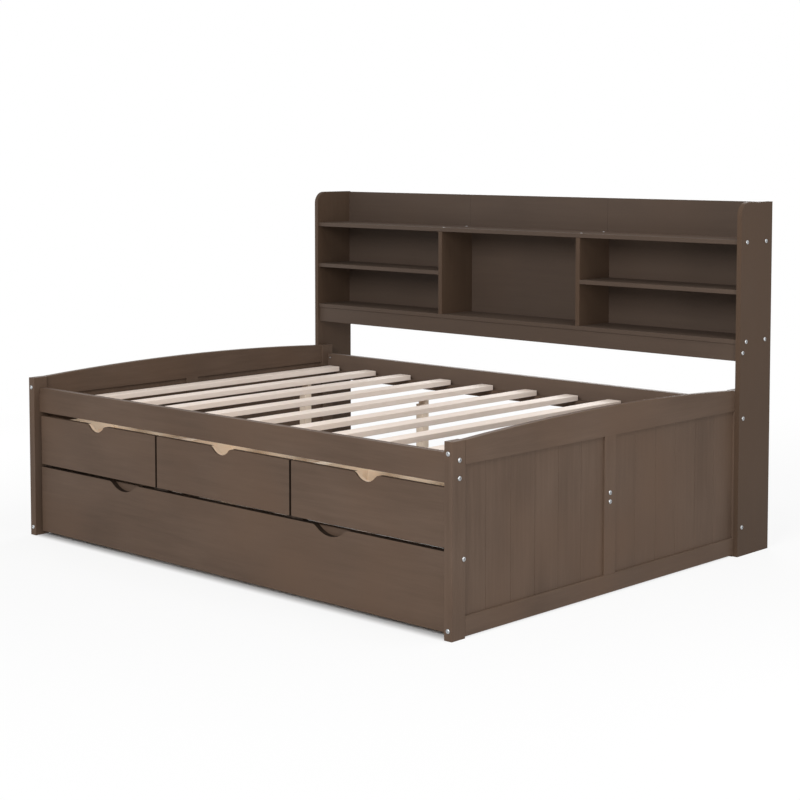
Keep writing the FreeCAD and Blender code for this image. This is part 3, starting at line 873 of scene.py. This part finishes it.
class BED_OT_studio(bpy.types.Operator):
    """Set up the floor, the lamps, the even light and the camera."""

    bl_idname = "bed.studio"
    bl_label = "Studio"

    def execute(self, context):
        looks = context.scene.bed_studio
        self.floor(looks)
        self.world(looks)
        low, high = cad_bounds
        middle = (low + high) / 2
        for name, (place, size) in LAMPS.items():
            lamp(name + "_lamp", place, middle, size, getattr(looks, name + "_power"))
        self.camera(looks)
        context.scene.view_settings.view_transform = "Standard"
        return {"FINISHED"}

    def floor(self, looks):
        """A square floor that turns white for the camera, away from the trundle's shade."""
        half = looks.floor_half
        mesh = bpy.data.meshes.new("floor")
        corners = [(-half, -half, 0), (half, -half, 0), (half, half, 0), (-half, half, 0)]
        mesh.from_pydata(corners, [], [(0, 1, 2, 3)])
        floor = bpy.data.objects.new("floor", mesh)
        bpy.context.scene.collection.objects.link(floor)
        finish = Finish("studio_floor")
        finish.set({
            "Base Color": (*looks.floor_tone, 1.0), "Roughness": 0.9, "Specular IOR Level": 0.0,
        })
        glow = finish.add("ShaderNodeEmission", None, {"Color": (1, 1, 1, 1), "Strength": 1.0})
        reach = finish.add("ShaderNodeVectorMath", {"operation": "LENGTH"}, {0: finish.place})
        white = finish.add("ShaderNodeMapRange", None, {
            "Value": reach["Value"], "From Min": looks.floor_near, "From Max": looks.floor_far,
            "To Min": looks.floor_white, "To Max": 1.0,
        })
        clear = self.clear_of_trundle(finish, looks)
        mixed = finish.add("ShaderNodeMixShader", None, {
            0: seen_plainly(finish) * white["Result"] * clear,
            1: Value(finish, finish.shader.outputs["BSDF"]),
            2: glow["Emission"],
        })
        output = finish.tree.nodes["Material Output"]
        finish.tree.links.new(mixed["Shader"].socket, output.inputs["Surface"])
        mesh.materials.append(finish.material)

    def clear_of_trundle(self, finish, looks):
        """0 on the shaded floor under the trundle, rising to 1 outside, slowly at the back."""
        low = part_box("trundle_front")[0]
        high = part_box("trundle_back")[1]
        place = finish.split(finish.place)
        aside = (place["X"].size() - abs(low.x)).larger(low.y - place["Y"])
        outside = finish.add("ShaderNodeMapRange", None, {
            "Value": (aside * looks.side_fade).larger(place["Y"] - high.y),
            "From Min": 0.0, "From Max": looks.back_fade,
        })
        return outside["Result"]

    def world(self, looks):
        """Even light, and plain white where the background itself is seen."""
        world = bpy.data.worlds.new("studio_world")
        bpy.context.scene.world = world
        world.use_nodes = True
        maker = Maker(world.node_tree)
        strength = looks.ambient + seen_plainly(maker) * (1.0 - looks.ambient)
        sky = world.node_tree.nodes["Background"]
        sky.inputs["Color"].default_value = (1, 1, 1, 1)
        world.node_tree.links.new(strength.socket, sky.inputs["Strength"])

    def camera(self, looks):
        """The camera of the picture."""
        data = bpy.data.cameras.new("camera")
        data.lens = looks.lens
        data.sensor_width = 36.0
        data.shift_y = looks.rise
        data.clip_end = CAMERA_REACH
        camera = bpy.data.objects.new("camera", data)
        level = math.cos(looks.pitch)
        forward = Vector((
            -math.sin(looks.azimuth) * level, math.cos(looks.azimuth) * level,
            -math.sin(looks.pitch),
        ))
        camera.location = CAMERA_PLACE
        camera.rotation_mode = "QUATERNION"
        camera.rotation_quaternion = forward.to_track_quat("-Z", "Y")
        bpy.context.scene.collection.objects.link(camera)
        bpy.context.scene.camera = camera


OPERATORS = (BED_OT_stain, BED_OT_bare_wood, BED_OT_fasteners, BED_OT_casters, BED_OT_studio)
GROUPS = (
    ("bed_stain", StainSettings),
    ("bed_pale", PaleWoodSettings),
    ("bed_hardware", HardwareSettings),
    ("bed_studio", StudioSettings),
)


class BED_PT_looks(bpy.types.Panel):
    """The bed's finishes, pieces and studio."""

    bl_label = "Captains bed"
    bl_idname = "BED_PT_looks"
    bl_space_type = "VIEW_3D"
    bl_region_type = "UI"
    bl_category = "Bed"

    def draw(self, context):
        for operator in OPERATORS:
            self.layout.operator(operator.bl_idname)
        for name, group in GROUPS:
            box = self.layout.box()
            for field in group.__annotations__:
                box.prop(getattr(context.scene, name), field)


def register():
    for name, group in GROUPS:
        bpy.utils.register_class(group)
        setattr(bpy.types.Scene, name, bpy.props.PointerProperty(type=group))
    for cls in (*OPERATORS, BED_PT_looks):
        bpy.utils.register_class(cls)


def unregister():
    for cls in reversed((*OPERATORS, BED_PT_looks)):
        bpy.utils.unregister_class(cls)
    for name, group in reversed(GROUPS):
        delattr(bpy.types.Scene, name)
        bpy.utils.unregister_class(group)


def main():
    register()
    bpy.ops.bed.stain()
    bpy.ops.bed.bare_wood()
    bpy.ops.bed.fasteners()
    bpy.ops.bed.casters()
    bpy.ops.bed.studio()


if __name__ == "__main__":
    main()
